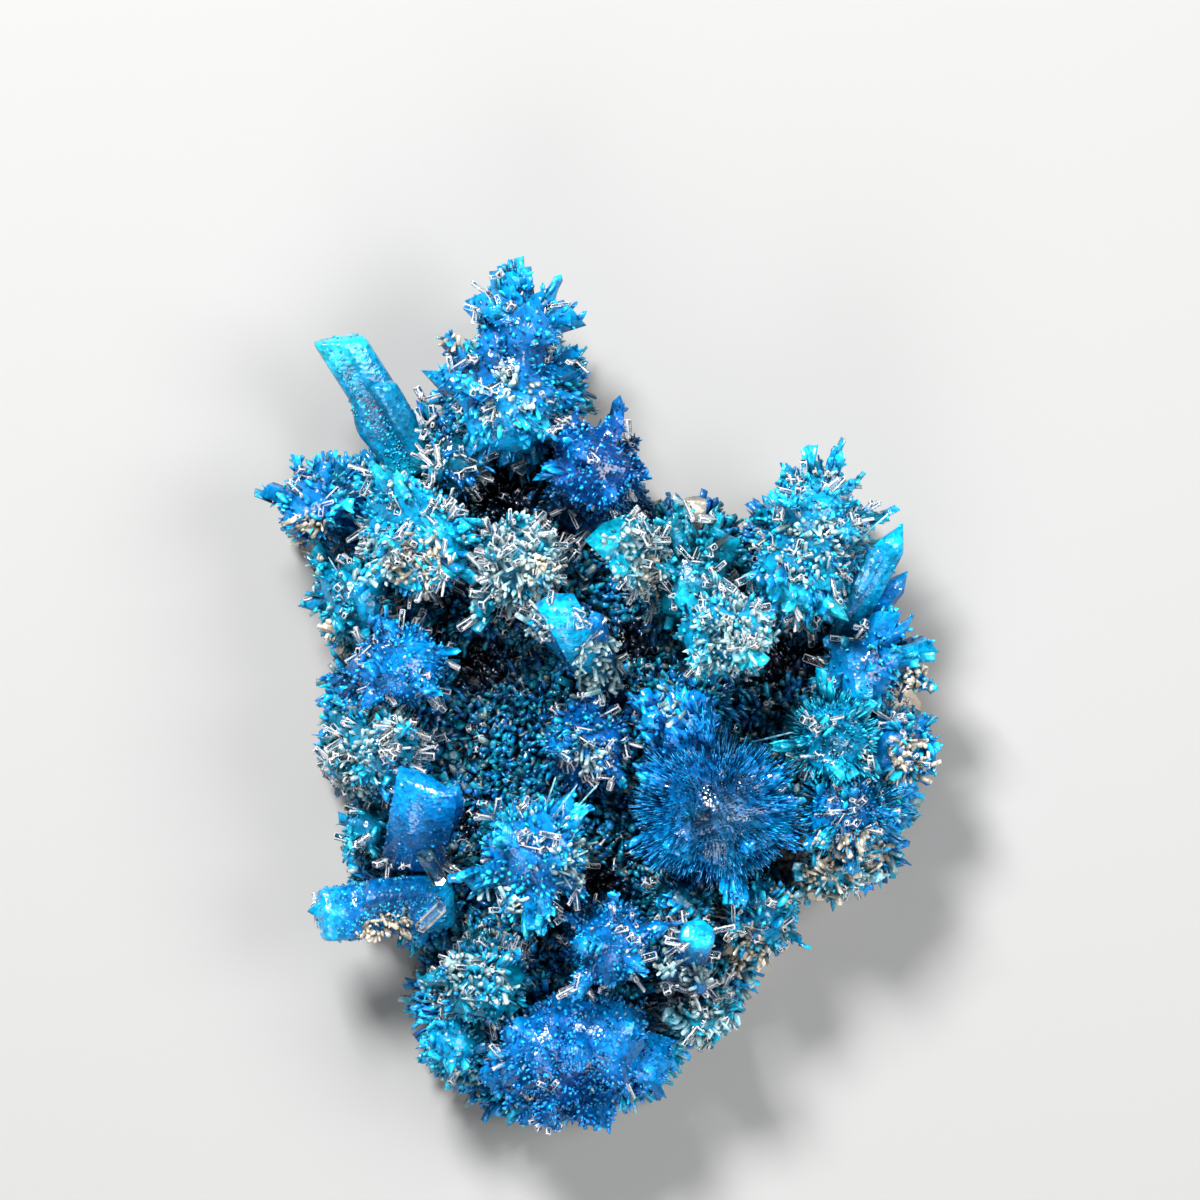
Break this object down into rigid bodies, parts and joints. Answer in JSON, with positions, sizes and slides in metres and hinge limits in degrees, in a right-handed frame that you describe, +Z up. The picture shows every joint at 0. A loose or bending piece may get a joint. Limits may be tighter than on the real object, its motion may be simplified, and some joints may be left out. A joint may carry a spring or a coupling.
{
  "type": "pentagonite with calcite mineral specimen",
  "caption": "Blue radiating pentagonite crystal sprays with clear calcite prisms on a pale calcite rock, cut flat underneath so that it lies on its back.",
  "frame": {"origin": "middle of the flat underside of the rock, under the middle of the whole specimen's box", "axes": "+X to the specimen's right, +Y along its height towards the crown, +Z up out of the rock towards the crystals"},
  "size_m": [0.0376, 0.0478, 0.016],
  "materials": {
    "azure_pentagonite": "glassy azure blue crystal, translucent at its edges",
    "deep_blue_pentagonite": "glassy ultramarine crystal, dark at the root",
    "cyan_pentagonite": "glassy cyan crystal, palest at the tips",
    "teal_pentagonite": "glassy teal crystal, dark at the root",
    "crusted_pentagonite": "blue crystal under a sugary pale crust",
    "cream_calcite": "cream calcite, waxy and faintly translucent",
    "calcite_rock": "granular pale tan calcite rock, matt",
    "clear_calcite": "colourless clear calcite, glassy"
  },
  "bodies": {
    "root": {"calcite_matrix": "calcite_rock", "upper_left_finger": "cyan_pentagonite", "right_finger": "azure_pentagonite", "lower_left_finger": "azure_pentagonite", "big_slab": "azure_pentagonite", "centre_prism": "azure_pentagonite", "crusted_blade": "cyan_pentagonite", "lower_stub": "azure_pentagonite", "cream_calcite_crystal": "cream_calcite", "large_calcite_prism": "clear_calcite", "small_calcite_prism": "clear_calcite", "crown_spray": "cyan_pentagonite", "crown_foot_spray": "teal_pentagonite", "round_lobe": "deep_blue_pentagonite", "upper_middle_blades": "teal_pentagonite", "right_tower": "cyan_pentagonite", "right_blade_fan": "teal_pentagonite", "right_edge_lobe": "azure_pentagonite", "upper_right_ball": "teal_pentagonite", "lower_right_ball": "azure_pentagonite", "sunburst": "deep_blue_pentagonite", "encrusted_stump": "crusted_pentagonite", "pale_lump": "crusted_pentagonite", "far_left_spray": "azure_pentagonite", "upper_left_cluster": "cyan_pentagonite", "left_edge_spray": "cyan_pentagonite", "left_middle_spray": "azure_pentagonite", "left_lower_spray": "teal_pentagonite", "left_low_lobe": "cyan_pentagonite", "pointed_cluster": "azure_pentagonite", "middle_cluster": "teal_pentagonite", "lower_lump": "azure_pentagonite", "lower_middle_spray": "teal_pentagonite", "bottom_mass": "deep_blue_pentagonite", "bottom_ring": "teal_pentagonite", "bottom_left_lobe": "cyan_pentagonite", "lower_right_lobe": "cyan_pentagonite", "lower_right_crust": "crusted_pentagonite", "pale_band_spray": "crusted_pentagonite"}
  },
  "joints": []
}
